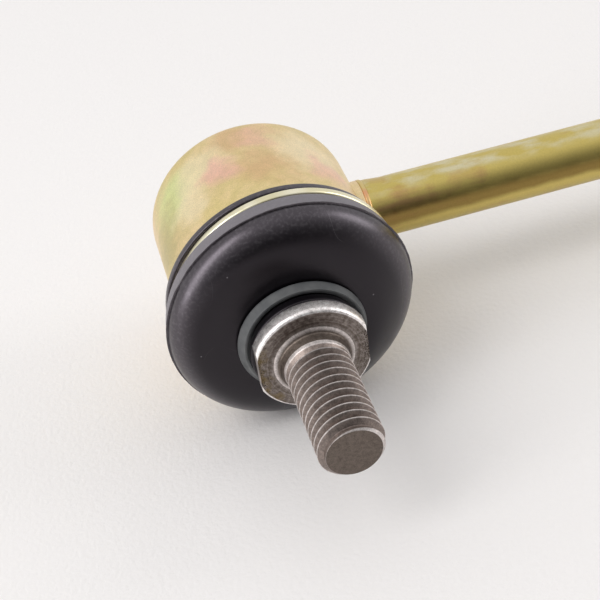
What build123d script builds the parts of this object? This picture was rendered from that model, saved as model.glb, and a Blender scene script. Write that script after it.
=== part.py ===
from build123d import *
import math
import os

# Stabilizer link in millimetres. X runs along the rod, both studs point along -Y and +Z is up.
# The origin is the centre of the whole link: half way between the ball joints in X, half way
# between the stud points and the closed ends of the housings in Y, and on the stud axes in Z.
# Each end is first built in its joint frame: origin at the ball centre, z along the stud towards
# its point, x towards the rod. Heights are measured from the ball centre in that frame.

# Whole link
centre_distance = 240.0
swing_angle = 20.0

# Clearances
running_clearance = 0.05
press_gap = 0.05
soft_clearance = 0.3
swing_clearance = 0.4

# Ball stud
ball_diameter = 16.0
ball_overhang = 3.0
neck_fillet = 0.8
boot_seat_diameter = 14.0
boot_seat_length = 4.3
boot_seat_taper = 2.2
flange_thickness = 2.5
flange_overhang = 2.2
flange_edge_round = 0.2
flat_overhang = 1.35
thread_diameter = 10.0
shank_length = 20.0
foot_width = 0.9
foot_height = 0.9
foot_edge_round = 0.3
foot_root_round = 0.25
run_out_rise = 0.25
run_out_length = 1.3
point_width = 0.95
point_length = 1.0

# Ball seat, a moulded shell that wraps the ball past its widest circle
seat_wall = 4.0
seat_wrap_height = 3.8
seat_foot_trim = 0.3
seat_hole_diameter = 6.4
seat_foot_chamfer = 1.0
seat_lip_chamfer = 0.4
grease_groove_pairs = 2
grease_groove_width = 1.6
grease_groove_depth = 0.7

# Preload spring, a coned disc between the housing floor and the seat
spring_thickness = 0.6
spring_cone_height = 0.45
spring_inner_diameter = 12.0
spring_edge_clearance = 0.15

# Closing ring and the snap ring that holds it
closing_ring_thickness = 2.5
closing_ring_chamfer = 0.6
snap_ring_thickness = 1.2
snap_groove_depth = 1.0
snap_gap_angle = 34.0
snap_lug_radius = 1.3
snap_lug_overlap = 0.6
snap_lug_hole_radius = 0.6
groove_land = 0.9

# Housing cup
housing_wall = 4.95
housing_floor = 1.8
closed_end_round = 3.0
bore_foot_round = 0.6
boot_shoulder_height = 13.2
boot_shoulder_width = 1.5
boot_land_overrun = 0.5
mouth_chamfer = 0.4

# Rod, the collar on the housing that it is welded to, and the weld
rod_diameter = 10.0
upset_rise = 0.23
upset_length = 3.1
rod_end_chamfer = 0.1
collar_rise = 0.17
collar_stand_out = 0.4
collar_chamfer = 0.2
weld_width = 0.8
weld_crown = 0.25

# Boot, from its neck to its rear lip
boot_wall = 1.8
neck_wall = 1.0
neck_lip = 0.6
neck_lip_width = 1.55
boot_face_width = 1.7
boot_crown_rise = 5.0
boot_skirt_length = 2.6
boot_skirt_width = 2.2
boot_back_taper = 0.55
boot_back_round = 0.15
clamp_groove_width = 3.0
bead_wall = 2.4
rear_lip_rise = 0.75
rear_lip_width = 1.3

# Rings that hold the boot
boot_clamp_thickness = 0.7
boot_clamp_side_gap = 0.2
boot_clamp_round = 0.25
neck_ring_width = 1.75
neck_ring_back_wall = 1.55
neck_ring_front_wall = 0.85
neck_ring_edge = 0.35
neck_ring_step_width = 0.45
neck_ring_step_depth = 0.25

# Ball, seat and bore
ball_radius = ball_diameter / 2
neck_radius = ball_radius - ball_overhang
cavity_radius = ball_radius + running_clearance
seat_radius = ball_radius + seat_wall
bore_radius = seat_radius + running_clearance
seat_foot_depth = ball_radius - seat_foot_trim
floor_depth = seat_foot_depth + running_clearance + spring_thickness + spring_cone_height
closed_end_depth = floor_depth + housing_floor
closing_ring_foot = seat_wrap_height + running_clearance
closing_ring_top = closing_ring_foot + closing_ring_thickness
snap_ring_top = closing_ring_top + snap_ring_thickness
snap_groove_radius = bore_radius + snap_groove_depth

# Housing outside, collar and rod
housing_radius = bore_radius + housing_wall
boot_land_radius = housing_radius - boot_shoulder_width
rod_radius = rod_diameter / 2
upset_radius = rod_radius + upset_rise
collar_radius = upset_radius + collar_rise
collar_reach = housing_radius + collar_stand_out
rod_end_reach = collar_reach + weld_width

# Boot, built up from the housing's shoulder, and the housing's mouth inside it
bead_radius = boot_land_radius + press_gap
clamp_floor_radius = bead_radius + bead_wall
rear_lip_radius = clamp_floor_radius + rear_lip_rise
rim_radius = clamp_floor_radius + boot_skirt_width
clamp_groove_foot = boot_shoulder_height + rear_lip_width
clamp_groove_top = clamp_groove_foot + clamp_groove_width
mouth_height = clamp_groove_top + boot_land_overrun
parting_height = clamp_groove_top + boot_skirt_length
boot_face_height = parting_height + boot_crown_rise
boot_seat_radius = boot_seat_diameter / 2
boot_bore_radius = boot_seat_radius + soft_clearance
neck_groove_radius = boot_bore_radius + neck_wall
crown_radius = neck_groove_radius + boot_face_width

# Neck ring on the boot's face, then the boot's lip and the stud's flange
neck_ring_foot = boot_face_height + soft_clearance
neck_ring_top = neck_ring_foot + neck_ring_width
neck_groove_top = neck_ring_top + soft_clearance
neck_lip_top = neck_groove_top + neck_lip_width
flange_back_height = neck_lip_top + soft_clearance
flange_face_height = flange_back_height + flange_thickness
flange_radius = boot_seat_radius + flange_overhang
flat_offset = boot_seat_radius + flat_overhang
thread_radius = thread_diameter / 2
stud_point_height = flange_face_height + shank_length
joint_depth = (stud_point_height - closed_end_depth) / 2


def swing_radius(height):
    """Radius that the stud's neck sweeps at this height when the stud leans by the swing angle."""
    lean = math.radians(swing_angle)
    return neck_radius / math.cos(lean) + height * math.tan(lean)


mouth_radius = max(bore_radius, swing_radius(mouth_height) + swing_clearance)


def turned(corners, axis=Axis.Z):
    """Solid turned about x or z from a closed outline of straight runs between (x, z) corners."""
    with BuildPart() as piece:
        with BuildSketch(Plane.XZ):
            with BuildLine():
                Polyline(*corners, close=True)
            make_face()
        revolve(axis=axis)
    return piece.part


def rims(shape, radius, height):
    """The circular edges about z that have this radius and lie at this height."""
    round_edges = shape.edges().filter_by(GeomType.CIRCLE)
    level = [e for e in round_edges if math.isclose(e.center().Z, height, abs_tol=0.01)]
    return [e for e in level if math.isclose(e.radius, radius, abs_tol=0.01)]


def ball_stud():
    """Forged stud: ball, neck, boot seat, flange with two wrench flats, foot and plain shank."""
    neck_start = math.sqrt(ball_radius**2 - neck_radius**2)
    seat_foot = flange_back_height - boot_seat_length
    foot_radius = thread_radius + foot_width
    foot_top = flange_face_height + foot_height
    with BuildPart() as stud:
        with BuildSketch(Plane.XZ):
            with BuildLine():
                ThreePointArc((0, -ball_radius), (ball_radius, 0), (neck_radius, neck_start))
                Polyline(
                    (neck_radius, neck_start),
                    (neck_radius, seat_foot - boot_seat_taper),
                    (boot_seat_radius, seat_foot),
                    (boot_seat_radius, flange_back_height),
                    (flange_radius, flange_back_height),
                    (flange_radius, flange_face_height),
                    (foot_radius, flange_face_height),
                    (foot_radius, foot_top),
                    (thread_radius + run_out_rise, foot_top),
                    (thread_radius, foot_top + run_out_length),
                    (thread_radius, stud_point_height - point_length),
                    (thread_radius - point_width, stud_point_height),
                    (0, stud_point_height),
                    (0, -ball_radius),
                )
            make_face()
        revolve(axis=Axis.Z)
        fillet(rims(stud.part, neck_radius, neck_start), neck_fillet)
        fillet(rims(stud.part, foot_radius, foot_top), foot_edge_round)
        fillet(rims(stud.part, foot_radius, flange_face_height), foot_root_round)
        fillet(rims(stud.part, flange_radius, flange_face_height), flange_edge_round)
        fillet(rims(stud.part, flange_radius, flange_back_height), flange_edge_round)
        for side in (-1, 1):
            with Locations((side * (flat_offset + flange_radius), 0, flange_back_height)):
                Box(
                    2 * flange_radius,
                    2 * flange_radius,
                    flange_thickness,
                    align=(Align.CENTER, Align.CENTER, Align.MIN),
                    mode=Mode.SUBTRACT,
                )
    return stud.part


def ball_seat():
    """Moulded bearing shell: spherical bore, grease hole below and grease grooves up the bore."""
    with BuildPart() as seat:
        Cylinder(seat_radius, seat_foot_depth, align=(Align.CENTER, Align.CENTER, Align.MAX))
        Cylinder(seat_radius, seat_wrap_height, align=(Align.CENTER, Align.CENTER, Align.MIN))
        chamfer(rims(seat.part, seat_radius, -seat_foot_depth), seat_foot_chamfer)
        Sphere(cavity_radius, mode=Mode.SUBTRACT)
        lip_radius = math.sqrt(cavity_radius**2 - seat_wrap_height**2)
        chamfer(rims(seat.part, lip_radius, seat_wrap_height), seat_lip_chamfer)
        hole_align = (Align.CENTER, Align.CENTER, Align.MAX)
        Cylinder(seat_hole_diameter / 2, cavity_radius, align=hole_align, mode=Mode.SUBTRACT)
        for pair in range(grease_groove_pairs):
            with Locations(Rot(0, 0, 180 * pair / grease_groove_pairs) * Rot(90, 0, 0)):
                Cylinder(cavity_radius + grease_groove_depth, grease_groove_width, mode=Mode.SUBTRACT)
    return seat.part


def preload_spring():
    """Coned disc spring that lifts the seat from the housing floor and takes up wear."""
    inner = spring_inner_diameter / 2
    outer = bore_radius - bore_foot_round - spring_edge_clearance
    foot = -floor_depth
    return turned(
        [
            (outer, foot),
            (outer, foot + spring_thickness),
            (inner, foot + spring_thickness + spring_cone_height),
            (inner, foot + spring_cone_height),
        ]
    )


def closing_ring():
    """Turned steel ring that closes the bore above the seat, wide enough for the leaning neck."""
    inner = swing_radius(closing_ring_top) + swing_clearance
    outer = bore_radius - press_gap
    return turned(
        [
            (inner + closing_ring_chamfer, closing_ring_foot),
            (outer, closing_ring_foot),
            (outer, closing_ring_top),
            (inner, closing_ring_top),
            (inner, closing_ring_foot + closing_ring_chamfer),
        ]
    )


def snap_ring():
    """Open ring with two eyed lugs that snaps into the groove above the closing ring."""
    outer = snap_groove_radius - press_gap
    lug_reach = swing_radius(snap_ring_top) + swing_clearance + snap_lug_radius
    half_gap = math.radians(snap_gap_angle / 2)
    lug_turn = half_gap + snap_lug_radius / lug_reach
    with BuildPart() as ring:
        with BuildSketch(Plane.XY.offset(closing_ring_top)):
            Circle(outer)
            Circle(lug_reach + snap_lug_overlap, mode=Mode.SUBTRACT)
            with BuildLine():
                far_x = 2 * outer * math.cos(half_gap)
                far_y = 2 * outer * math.sin(half_gap)
                Polyline((0, 0), (far_x, far_y), (far_x, -far_y), close=True)
            make_face(mode=Mode.SUBTRACT)
            for side in (-1, 1):
                lug_y = side * lug_reach * math.sin(lug_turn)
                with Locations((lug_reach * math.cos(lug_turn), lug_y)):
                    Circle(snap_lug_radius)
                    Circle(snap_lug_hole_radius, mode=Mode.SUBTRACT)
        extrude(amount=snap_ring_thickness)
    return ring.part


def housing():
    """Forged cup with a bored inside, a land for the boot at its mouth and a collar for the rod."""
    groove_top = snap_ring_top + press_gap
    with BuildPart() as cup:
        add(
            turned(
                [
                    (0, -closed_end_depth),
                    (housing_radius, -closed_end_depth),
                    (housing_radius, boot_shoulder_height),
                    (boot_land_radius, boot_shoulder_height),
                    (boot_land_radius, mouth_height - mouth_chamfer),
                    (boot_land_radius - mouth_chamfer, mouth_height),
                    (mouth_radius, mouth_height),
                    (bore_radius, groove_top + groove_land),
                    (bore_radius, groove_top),
                    (snap_groove_radius, groove_top),
                    (snap_groove_radius, closing_ring_top),
                    (bore_radius, closing_ring_top),
                    (bore_radius, -floor_depth),
                    (0, -floor_depth),
                ]
            )
        )
        fillet(rims(cup.part, housing_radius, -closed_end_depth), closed_end_round)
        fillet(rims(cup.part, bore_radius, -floor_depth), bore_foot_round)
        collar_root = (bore_radius + housing_radius) / 2
        add(
            turned(
                [
                    (collar_root, 0),
                    (collar_root, collar_radius),
                    (collar_reach - collar_chamfer, collar_radius),
                    (collar_reach, collar_radius - collar_chamfer),
                    (collar_reach, 0),
                ],
                Axis.X,
            )
        )
    return cup.part


def weld():
    """Ring of weld metal, slightly crowned outside, between the housing's collar and the rod."""
    edge_radius = collar_radius - collar_chamfer
    with BuildPart() as bead:
        with BuildSketch(Plane.XZ):
            with BuildLine():
                ThreePointArc(
                    (collar_reach, edge_radius),
                    (collar_reach + weld_width / 2, edge_radius + weld_crown),
                    (rod_end_reach, edge_radius),
                )
                Polyline(
                    (rod_end_reach, edge_radius),
                    (rod_end_reach, 0),
                    (collar_reach, 0),
                    (collar_reach, edge_radius),
                )
            make_face()
        revolve(axis=Axis.X)
    return bead.part


def boot():
    """Rubber boot: neck lip, groove for the neck ring, bun-shaped wall, clamp groove and rear lip."""
    back_radius = rim_radius - boot_back_taper
    with BuildPart() as sleeve:
        with BuildSketch(Plane.XZ):
            with BuildLine():
                Polyline(
                    (boot_bore_radius, neck_lip_top),
                    (neck_groove_radius + neck_lip, neck_lip_top),
                    (neck_groove_radius + neck_lip, neck_groove_top),
                    (neck_groove_radius, neck_groove_top),
                    (neck_groove_radius, boot_face_height),
                    (crown_radius, boot_face_height),
                )
                EllipticalCenterArc(
                    (crown_radius, parting_height),
                    rim_radius - crown_radius,
                    boot_crown_rise,
                    arc_size=90,
                )
                Polyline(
                    (rim_radius, parting_height),
                    (back_radius, clamp_groove_top + boot_back_round),
                    (back_radius - boot_back_round, clamp_groove_top),
                    (clamp_floor_radius, clamp_groove_top),
                    (clamp_floor_radius, clamp_groove_foot),
                    (rear_lip_radius, clamp_groove_foot),
                    (rear_lip_radius, boot_shoulder_height),
                    (bead_radius, boot_shoulder_height),
                    (bead_radius, mouth_height + soft_clearance),
                    (rim_radius - boot_wall, parting_height),
                )
                EllipticalCenterArc(
                    (crown_radius, parting_height),
                    rim_radius - crown_radius - boot_wall,
                    boot_crown_rise - boot_wall,
                    arc_size=90,
                )
                Polyline(
                    (crown_radius, boot_face_height - boot_wall),
                    (boot_bore_radius, boot_face_height - boot_wall),
                    (boot_bore_radius, neck_lip_top),
                )
            make_face()
        revolve(axis=Axis.Z)
    return sleeve.part


def boot_clamp():
    """Plated steel band in the boot's rear groove, with its outer edges rounded."""
    inner = clamp_floor_radius + press_gap
    outer = inner + boot_clamp_thickness
    foot = clamp_groove_foot + boot_clamp_side_gap
    top = clamp_groove_top - boot_clamp_side_gap
    with BuildPart() as band:
        add(turned([(inner, foot), (outer, foot), (outer, top), (inner, top)]))
        fillet(rims(band.part, outer, foot) + rims(band.part, outer, top), boot_clamp_round)
    return band.part


def neck_ring():
    """Slightly coned ring that grips the boot's neck, with a step round its front bore."""
    inner = neck_groove_radius + soft_clearance
    step = inner + neck_ring_step_width
    back = inner + neck_ring_back_wall
    front = inner + neck_ring_front_wall
    return turned(
        [
            (inner, neck_ring_foot),
            (back, neck_ring_foot),
            (back, neck_ring_foot + neck_ring_edge),
            (front, neck_ring_top),
            (step, neck_ring_top),
            (step, neck_ring_top - neck_ring_step_depth),
            (inner, neck_ring_top - neck_ring_step_depth),
        ]
    )


def link_rod():
    """Round rod between the two welds, upset a little at each end."""
    half_length = centre_distance / 2 - rod_end_reach
    outline = []
    for side in (-1, 1):
        end_outline = [
            (side * half_length, 0),
            (side * half_length, upset_radius - rod_end_chamfer),
            (side * (half_length - rod_end_chamfer), upset_radius),
            (side * (half_length - upset_length), rod_radius),
        ]
        outline += end_outline[::-side]
    return turned(outline, Axis.X)


def placed(piece, side):
    """A piece of one end, moved from its joint frame to its place: side -1 is end a, +1 is end b."""
    turn = Rot(0, 0, 90 + 90 * side)
    return Pos(side * centre_distance / 2, joint_depth, 0) * Rot(90, 0, 0) * turn * piece


end_pieces = {
    "housing": housing,
    "rod_weld": weld,
    "preload_spring": preload_spring,
    "ball_seat": ball_seat,
    "closing_ring": closing_ring,
    "snap_ring": snap_ring,
    "boot": boot,
    "boot_clamp": boot_clamp,
    "neck_ring": neck_ring,
    "ball_stud": ball_stud,
}

os.makedirs("parts", exist_ok=True)
export_step(Pos(0, joint_depth, 0) * link_rod(), "parts/link_rod.step")
for name, make in end_pieces.items():
    piece = make()
    for letter, side in (("a", -1), ("b", 1)):
        export_step(placed(piece, side), f"parts/{name}_{letter}.step")
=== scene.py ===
import logging
import math
from dataclasses import dataclass, field
from enum import Enum
from typing import Sequence

import bpy
from mathutils import Matrix, Vector, noise


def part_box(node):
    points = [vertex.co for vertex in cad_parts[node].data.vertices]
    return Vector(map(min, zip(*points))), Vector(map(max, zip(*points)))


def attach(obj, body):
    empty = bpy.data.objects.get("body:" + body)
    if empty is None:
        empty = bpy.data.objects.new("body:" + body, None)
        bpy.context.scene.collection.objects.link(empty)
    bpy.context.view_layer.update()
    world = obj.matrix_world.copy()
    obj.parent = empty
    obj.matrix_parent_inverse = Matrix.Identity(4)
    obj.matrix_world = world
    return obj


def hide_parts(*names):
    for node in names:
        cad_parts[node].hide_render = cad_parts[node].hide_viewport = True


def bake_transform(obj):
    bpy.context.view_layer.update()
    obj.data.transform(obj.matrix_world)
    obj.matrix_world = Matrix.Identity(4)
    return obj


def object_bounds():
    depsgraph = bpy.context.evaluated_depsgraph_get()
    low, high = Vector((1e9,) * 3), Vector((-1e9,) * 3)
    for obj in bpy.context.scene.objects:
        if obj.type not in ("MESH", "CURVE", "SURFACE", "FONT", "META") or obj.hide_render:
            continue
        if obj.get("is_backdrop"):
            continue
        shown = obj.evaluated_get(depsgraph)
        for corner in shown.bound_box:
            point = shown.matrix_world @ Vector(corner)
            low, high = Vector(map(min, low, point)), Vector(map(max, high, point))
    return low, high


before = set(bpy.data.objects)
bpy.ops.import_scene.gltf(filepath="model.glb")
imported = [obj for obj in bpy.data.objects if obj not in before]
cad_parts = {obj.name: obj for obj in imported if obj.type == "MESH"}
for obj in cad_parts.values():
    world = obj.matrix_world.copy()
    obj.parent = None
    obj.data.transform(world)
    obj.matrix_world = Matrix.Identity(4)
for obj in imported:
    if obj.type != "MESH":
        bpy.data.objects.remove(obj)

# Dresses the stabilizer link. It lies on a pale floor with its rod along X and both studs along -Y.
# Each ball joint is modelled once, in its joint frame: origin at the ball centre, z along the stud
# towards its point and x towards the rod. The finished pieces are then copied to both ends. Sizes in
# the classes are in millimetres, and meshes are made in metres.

MM = 0.001
SAME_POINT = 0.002 * MM
CUT_THRESHOLD = 1e-7
STRAIGHT = 0.01
ARC_STEP = 15
ALONG_X = Matrix.Rotation(math.pi / 2, 4, "Y")
LOG = logging.getLogger("stabilizer_link")

Piece = bpy.types.Object
Material = bpy.types.Material
Socket = bpy.types.NodeSocket
Span = tuple[float, float]
Triple = tuple[float, float, float]


def linear_colour(code: str) -> tuple[float, float, float, float]:
    """Turns an sRGB hex colour into the linear values that shaders take.

    Args:
        code: Colour as "#RRGGBB".

    Returns:
        Linear red, green, blue and an alpha of one.
    """
    parts = [int(code[i : i + 2], 16) / 255 for i in (1, 3, 5)]
    linear = [p / 12.92 if p <= 0.04045 else ((p + 0.055) / 1.055) ** 2.4 for p in parts]
    return (linear[0], linear[1], linear[2], 1.0)


class Steps(Enum):
    """How many steps a turned piece has round its axis."""

    FINE = 192
    MEDIUM = 128
    COARSE = 64


@dataclass
class Outline:
    """Half section of a turned piece, drawn corner by corner as radius and height.

    Attributes:
        corners: Radius, height and rounding of each corner, in millimetres.
    """

    corners: list[Triple] = field(default_factory=list)

    def to(self, radius: float, height: float, rounding: float = 0.0) -> "Outline":
        """Adds a corner, rounded by an arc of that radius."""
        self.corners.append((radius, height, rounding))
        return self

    def sweep(self, centre: Span, half_axes: Span, start: float, end: float, count: int) -> "Outline":
        """Adds points along an ellipse or circle.

        Args:
            centre: Radius and height of its centre.
            half_axes: Half widths across and along the axis.
            start: First angle in degrees, from straight outwards.
            end: Last angle in degrees.
            count: Number of points, with both ends.

        Returns:
            The outline itself.
        """
        for index in range(count):
            angle = math.radians(start + (end - start) * index / (count - 1))
            radius = centre[0] + half_axes[0] * math.cos(angle)
            self.to(max(radius, 0.0), centre[1] + half_axes[1] * math.sin(angle))
        return self

    def closed(self) -> "Outline":
        """Ends the outline where it began."""
        return self.to(*self.corners[0][:2])

    def points(self) -> list[Vector]:
        """Works out the points of the outline, with an arc at each rounded corner."""
        places = [Vector((r, 0.0, h)) for r, h, _ in self.corners]
        found = [places[0]]
        for index in range(1, len(places) - 1):
            rounding = self.corners[index][2]
            corner = places[index]
            if rounding <= 0.0:
                found.append(corner)
                continue
            back = (places[index - 1] - corner).normalized()
            ahead = (places[index + 1] - corner).normalized()
            half = back.angle(ahead) / 2
            if math.pi / 2 - half < STRAIGHT:
                found.append(corner)
                continue
            middle = corner + (back + ahead).normalized() * rounding / math.sin(half)
            reach = rounding / math.tan(half)
            first = (corner + back * reach - middle).normalized()
            last = (corner + ahead * reach - middle).normalized()
            count = max(3, round(math.degrees(math.pi - 2 * half) / ARC_STEP) + 1)
            for step in range(count + 1):
                found.append(middle + first.slerp(last, step / count) * rounding)
        found.append(places[-1])
        return [p * MM for p in found]


def only(piece: Piece) -> None:
    """Makes a piece the one that is selected and active."""
    bpy.ops.object.select_all(action="DESELECT")
    piece.select_set(True)
    bpy.context.view_layer.objects.active = piece


def drawn(name: str, points: list[Vector]) -> Piece:
    """Draws a line through points, each extruded from the one before.

    Args:
        name: Name of the piece.
        points: Points in metres.

    Returns:
        The piece, still in edit mode.
    """
    bpy.ops.object.select_all(action="DESELECT")
    bpy.ops.mesh.primitive_plane_add(size=MM)
    piece = bpy.context.object
    piece.name = name
    bpy.ops.object.mode_set(mode="EDIT")
    bpy.ops.mesh.select_all(action="SELECT")
    bpy.ops.mesh.merge(type="CENTER")
    bpy.ops.transform.translate(value=points[0])
    for before, after in zip(points, points[1:]):
        bpy.ops.mesh.extrude_vertices_move(TRANSFORM_OT_translate={"value": after - before})
    return piece


def turned(name: str, outline: Outline, steps: Steps = Steps.MEDIUM) -> Piece:
    """Models a turned piece: its half section is drawn and spun about z.

    Args:
        name: Name of the piece.
        outline: Half section.
        steps: Steps round the axis.

    Returns:
        The piece, as one closed surface with its normals outwards.
    """
    piece = drawn(name, outline.points())
    bpy.ops.mesh.select_all(action="SELECT")
    bpy.ops.mesh.spin(steps=steps.value, angle=math.tau, center=(0, 0, 0), axis=(0, 0, 1))
    tidy_edit_mesh()
    smooth(piece)
    return piece


def edit(piece: Piece) -> None:
    """Opens a piece in edit mode."""
    only(piece)
    bpy.ops.object.mode_set(mode="EDIT")


def cut_off(place: Triple, outwards: Triple, fill: bool = False) -> None:
    """Cuts the mesh that is being edited by a plane and drops what lies beyond.

    Args:
        place: A point of the plane, in millimetres.
        outwards: Direction of the side that is dropped.
        fill: Whether the cut is closed by a face.
    """
    bpy.ops.mesh.select_all(action="SELECT")
    bpy.ops.mesh.bisect(
        plane_co=tuple(c * MM for c in place),
        plane_no=outwards,
        clear_outer=True,
        use_fill=fill,
        threshold=CUT_THRESHOLD,
    )


def tidy_edit_mesh() -> None:
    """Merges doubles, turns all normals outwards and leaves edit mode."""
    bpy.ops.mesh.select_all(action="SELECT")
    bpy.ops.mesh.remove_doubles(threshold=SAME_POINT)
    bpy.ops.mesh.normals_make_consistent(inside=False)
    bpy.ops.object.mode_set(mode="OBJECT")


def smooth(piece: Piece, angle: float = 32.0) -> None:
    """Shades a piece smooth except at edges sharper than the angle in degrees."""
    only(piece)
    bpy.ops.object.shade_smooth_by_angle(angle=math.radians(angle))


def discard(piece: Piece) -> None:
    """Deletes a piece that is no longer needed."""
    bpy.data.objects.remove(piece, do_unlink=True)


def joined_by_boolean(piece: Piece, tool: Piece, operation: str) -> Piece:
    """Applies a boolean of one closed piece on another and deletes the tool.

    Args:
        piece: Piece that is kept.
        tool: Piece that is united with it or cut from it.
        operation: UNION, DIFFERENCE or INTERSECT.

    Returns:
        The kept piece.
    """
    only(piece)
    modifier = piece.modifiers.new("join", "BOOLEAN")
    modifier.operation = operation
    modifier.solver = "EXACT"
    modifier.object = tool
    bpy.ops.object.modifier_apply(modifier=modifier.name)
    discard(tool)
    return piece


def rounded_edges(piece: Piece, width: float, segments: int = 2) -> None:
    """Rounds every sharp edge of a piece by a small width in millimetres."""
    only(piece)
    modifier = piece.modifiers.new("edges", "BEVEL")
    modifier.width = width * MM
    modifier.segments = segments
    modifier.limit_method = "ANGLE"
    modifier.angle_limit = math.radians(40)
    bpy.ops.object.modifier_apply(modifier=modifier.name)


@dataclass(frozen=True)
class JointPlace:
    """Where one ball joint sits in the link.

    Attributes:
        letter: Letter of the end in the names of its nodes and bodies.
        centre: Ball centre, in metres.
        toward_rod: Sign of the direction along X in which the rod lies.
    """

    letter: str
    centre: Vector
    toward_rod: int

    @classmethod
    def find(cls, letter: str, ball_radius: float) -> "JointPlace":
        """Finds a joint from its stud, whose far side is the back of the ball."""
        low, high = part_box(f"ball_stud_{letter}")
        middle = (low + high) / 2
        centre = Vector((middle.x, high.y - ball_radius * MM, middle.z))
        return cls(letter, centre, -1 if middle.x > 0 else 1)

    def matrix(self) -> Matrix:
        """Matrix from the joint frame to the frame of the link."""
        side = self.toward_rod
        columns = Matrix(((side, 0, 0), (0, 0, -1), (0, side, 0)))
        return Matrix.Translation(self.centre) @ columns.to_4x4()

    def at_height(self, height: float) -> Triple:
        """Point on the stud axis at that height above the ball centre, in millimetres."""
        return tuple(self.matrix() @ Vector((0, 0, height * MM)))


def placed(model: Piece, name: str, matrix: Matrix) -> Piece:
    """Copies a finished model with its own mesh and applies its place to the mesh.

    Args:
        model: Piece in its modelling frame.
        name: Name of the copy.
        matrix: Where the copy goes.

    Returns:
        The copy, with its object at the origin.
    """
    only(model)
    bpy.ops.object.duplicate(linked=False)
    copy = bpy.context.object
    copy.name = name
    copy.matrix_world = matrix
    bpy.ops.object.transform_apply(location=True, rotation=True, scale=True)
    return copy


class NodeTree:
    """A node tree under construction."""

    def __init__(self, tree: bpy.types.NodeTree) -> None:
        """Takes the tree that nodes are added to."""
        self.tree = tree

    def add(
        self,
        kind: str,
        inputs: dict | None = None,
        output: int | str = 0,
        stops: Sequence[tuple[float, str]] = (),
        **settings: object,
    ) -> Socket:
        """Adds a node with its settings and links.

        Args:
            kind: Node type.
            inputs: Values or sockets for its inputs, by name or index.
            output: Which output is returned.
            stops: Places and hex colours of a colour ramp.
            settings: Properties of the node.

        Returns:
            The chosen output socket.
        """
        node = self.tree.nodes.new(kind)
        for name, value in settings.items():
            setattr(node, name, value)
        for name, value in (inputs or {}).items():
            self.feed(node.inputs[name], value)
        if stops:
            elements = node.color_ramp.elements
            while len(elements) < len(stops):
                elements.new(0.5)
            for element, (position, code) in zip(elements, stops):
                element.position = position
                element.color = linear_colour(code)
        return node.outputs[output]

    def feed(self, socket: Socket, value: object) -> None:
        """Links a socket or sets its value; a hex string is a colour."""
        if isinstance(value, Socket):
            self.tree.links.new(value, socket)
        elif isinstance(value, str):
            socket.default_value = linear_colour(value)
        else:
            socket.default_value = value

    def maths(self, operation: str, *values: object) -> Socket:
        """Adds one operation on numbers, with its operands in order."""
        return self.add("ShaderNodeMath", dict(enumerate(values)), operation=operation)

    def product(self, first: object, second: object) -> Socket:
        """Multiplies two numbers, which is also how two masks are crossed."""
        return self.maths("MULTIPLY", first, second)

    def gap(self, first: object, second: object) -> Socket:
        """How far apart two numbers are."""
        return self.maths("ABSOLUTE", self.maths("SUBTRACT", first, second))

    def vector(self, operation: str, *values: object, output: int | str = 0) -> Socket:
        """Adds one operation on vectors, with its operands in order."""
        inputs = dict(enumerate(values))
        return self.add("ShaderNodeVectorMath", inputs, output, operation=operation)

    def scaled(self, vector: Socket, amount: object) -> Socket:
        """Multiplies a vector or colour by a number."""
        inputs = {0: vector, "Scale": amount}
        return self.add("ShaderNodeVectorMath", inputs, operation="SCALE")

    def remap(
        self,
        value: Socket,
        source: Span = (0.0, 1.0),
        target: Span = (0.0, 1.0),
        curve: str = "LINEAR",
    ) -> Socket:
        """Turns one span of values into another, held at both ends.

        Args:
            value: Socket with the values.
            source: Values at the two ends of the span.
            target: What those two become.
            curve: LINEAR or SMOOTHSTEP.

        Returns:
            The new value.
        """
        names = ("Value", "From Min", "From Max", "To Min", "To Max")
        inputs = dict(zip(names, (value, *source, *target)))
        return self.add("ShaderNodeMapRange", inputs, interpolation_type=curve)


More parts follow.
